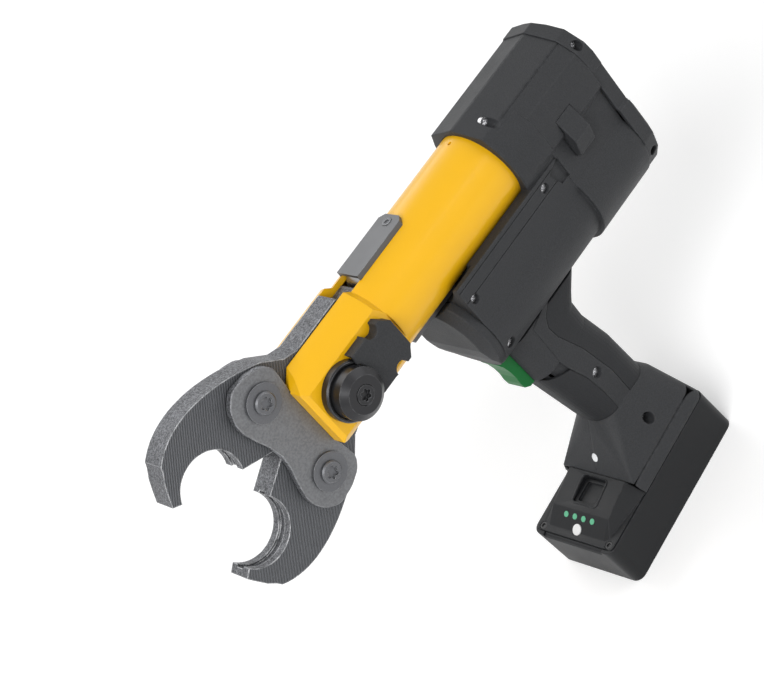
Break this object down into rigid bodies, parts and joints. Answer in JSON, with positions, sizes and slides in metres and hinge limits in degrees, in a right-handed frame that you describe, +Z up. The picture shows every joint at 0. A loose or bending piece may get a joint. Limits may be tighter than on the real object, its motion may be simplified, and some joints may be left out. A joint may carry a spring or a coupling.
{
  "type": "press_tool",
  "caption": "Battery hydraulic press tool with yellow turning head, open pressing tongs, dark housing, pistol grip and slide-on battery",
  "frame": {"origin": "centre of the battery's flat bottom face", "axes": "X runs from the tongs (negative) to the rear (positive), Y from the bolt side (negative) to the far side, Z up; the tool stands on its battery and the head tube rises 5.6 degrees towards the tongs"},
  "size_m": [0.3874, 0.0829, 0.3458],
  "materials": {
    "yellow_paint": "satin",
    "grey_paint": "satin",
    "jaw_steel": "rough forged",
    "plate_steel": "satin",
    "ground_steel": "ground",
    "dark_screw": "blackened",
    "screw_steel": "zinc",
    "black_plastic": "fine grain",
    "housing_plastic": "fine grain",
    "soft_grip": "fine grain",
    "green_plastic": "smooth",
    "battery_plastic": "fine grain",
    "lens": "clear",
    "lamp_green": "smooth",
    "white_plastic": "smooth",
    "alloy": "cast",
    "copper_core": "wound",
    "board_green": "smooth",
    "cell_blue": "smooth"
  },
  "bodies": {
    "machine": {"left_shell": "housing_plastic", "right_shell": "housing_plastic", "rear_cover": "housing_plastic", "motor_cap": "housing_plastic", "shell_screws": "screw_steel", "press_cylinder": "alloy", "pump_block": "alloy", "motor_can": "dark_screw", "gear_case": "alloy", "switch_block": "black_plastic", "control_board": "board_green", "grip_pad_rear": "soft_grip", "grip_pad_front": "soft_grip", "work_light": "lens", "contact_block": "black_plastic"},
    "head": {"head_fork": "yellow_paint", "cover_strips": "grey_paint", "strip_screws": "dark_screw", "bolt_collars": "black_plastic", "link_plate_near": "plate_steel", "link_plate_far": "plate_steel", "pivot_pins": "screw_steel", "pivot_washers": "dark_screw", "pivot_screws": "dark_screw"},
    "jaw_upper": {"upper_jaw": "jaw_steel"},
    "jaw_lower": {"lower_jaw": "jaw_steel"},
    "bolt": {"retaining_bolt": "ground_steel", "bolt_cap": "black_plastic", "cap_screw": "dark_screw"},
    "catch": {"bolt_catch": "black_plastic"},
    "ram": {"roller_carriage": "ground_steel", "roller_pins": "ground_steel"},
    "roller_top": {"upper_roller": "ground_steel"},
    "roller_bottom": {"lower_roller": "ground_steel"},
    "piston": {"press_piston": "ground_steel"},
    "rotor": {"motor_rotor": "copper_core", "cooling_fan": "black_plastic"},
    "eccentric": {"eccentric_shaft": "ground_steel"},
    "plunger": {"pump_plunger": "ground_steel"},
    "trigger_body": {"trigger": "green_plastic"},
    "reset_body": {"reset_button": "housing_plastic"},
    "battery": {"battery_case": "battery_plastic", "battery_top": "battery_plastic", "battery_cells": "cell_blue", "cell_holder": "black_plastic", "charge_lamps": "lamp_green", "battery_screws": "dark_screw"},
    "release_body": {"release_button": "battery_plastic"},
    "charge_body": {"charge_button": "white_plastic"}
  },
  "joints": [
    {"name": "head_turn", "type": "hinge", "parent": "machine", "child": "head", "pos_m": [0.07936, 0, 0.25598], "axis": [0.9952, 0, -0.0976], "continuous": true},
    {"name": "ram_slide", "type": "slide", "parent": "head", "child": "ram", "axis": [-0.9952, 0, 0.0976], "range_m": [0, 0.04]},
    {"name": "piston_slide", "type": "slide", "parent": "machine", "child": "piston", "axis": [-0.9952, 0, 0.0976], "range_m": [0, 0.04]},
    {"name": "upper_jaw_swing", "type": "hinge", "parent": "head", "child": "jaw_upper", "pos_m": [-0.12426, 0, 0.30875], "axis": [0, -1, 0], "range_deg": [0, 25.2]},
    {"name": "lower_jaw_swing", "type": "hinge", "parent": "head", "child": "jaw_lower", "pos_m": [-0.13064, 0, 0.24376], "axis": [0, 1, 0], "range_deg": [0, 25.2]},
    {"name": "upper_roller_spin", "type": "hinge", "parent": "ram", "child": "roller_top", "pos_m": [-0.01977, 0, 0.27997], "axis": [0, -1, 0], "range_deg": [0, 164]},
    {"name": "lower_roller_spin", "type": "hinge", "parent": "ram", "child": "roller_bottom", "pos_m": [-0.02255, 0, 0.2517], "axis": [0, 1, 0], "range_deg": [0, 164]},
    {"name": "bolt_pull", "type": "slide", "parent": "head", "child": "bolt", "axis": [0, -1, 0], "range_m": [0, 0.045]},
    {"name": "catch_slide", "type": "slide", "parent": "head", "child": "catch", "axis": [0.9952, 0, -0.0976], "range_m": [0, 0.0035], "stiffness_N_per_m": 600, "springref_m": -0.003},
    {"name": "rotor_spin", "type": "hinge", "parent": "machine", "child": "rotor", "pos_m": [0.0737, 0, 0.19825], "axis": [0.9952, 0, -0.0976], "continuous": true},
    {"name": "eccentric_spin", "type": "hinge", "parent": "machine", "child": "eccentric", "pos_m": [0.12346, 0, 0.19337], "axis": [0.9952, 0, -0.0976], "continuous": true},
    {"name": "plunger_slide", "type": "slide", "parent": "machine", "child": "plunger", "axis": [0.0976, 0, 0.9952], "range_m": [0, 0.003], "stiffness_N_per_m": 1500, "springref_m": -0.001},
    {"name": "trigger_pull", "type": "slide", "parent": "machine", "child": "trigger_body", "axis": [0.9952, 0, -0.0976], "range_m": [0, 0.005], "stiffness_N_per_m": 1500, "springref_m": -0.003},
    {"name": "reset_press", "type": "slide", "parent": "machine", "child": "reset_body", "axis": [0, 1, 0], "range_m": [0, 0.003], "stiffness_N_per_m": 1500, "springref_m": -0.002},
    {"name": "battery_slide", "type": "slide", "parent": "machine", "child": "battery", "axis": [-1, 0, 0], "range_m": [0, 0.09]},
    {"name": "release_press", "type": "slide", "parent": "battery", "child": "release_body", "axis": [0, 0, -1], "range_m": [0, 0.001], "stiffness_N_per_m": 2000, "springref_m": -0.002},
    {"name": "charge_press", "type": "slide", "parent": "battery", "child": "charge_body", "axis": [0.454, 0, -0.891], "range_m": [0, 0.0008], "stiffness_N_per_m": 1500, "springref_m": -0.001}
  ],
  "couplings": [
    {"joint": "piston_slide", "follows": "ram_slide", "ratio": 1},
    {"joint": "upper_jaw_swing", "follows": "ram_slide", "rad_per_m": 10.996},
    {"joint": "lower_jaw_swing", "follows": "ram_slide", "rad_per_m": 10.996},
    {"joint": "upper_roller_spin", "follows": "ram_slide", "rad_per_m": 71.429},
    {"joint": "lower_roller_spin", "follows": "ram_slide", "rad_per_m": 71.429},
    {"joint": "eccentric_spin", "follows": "rotor_spin", "ratio": 0.2}
  ]
}
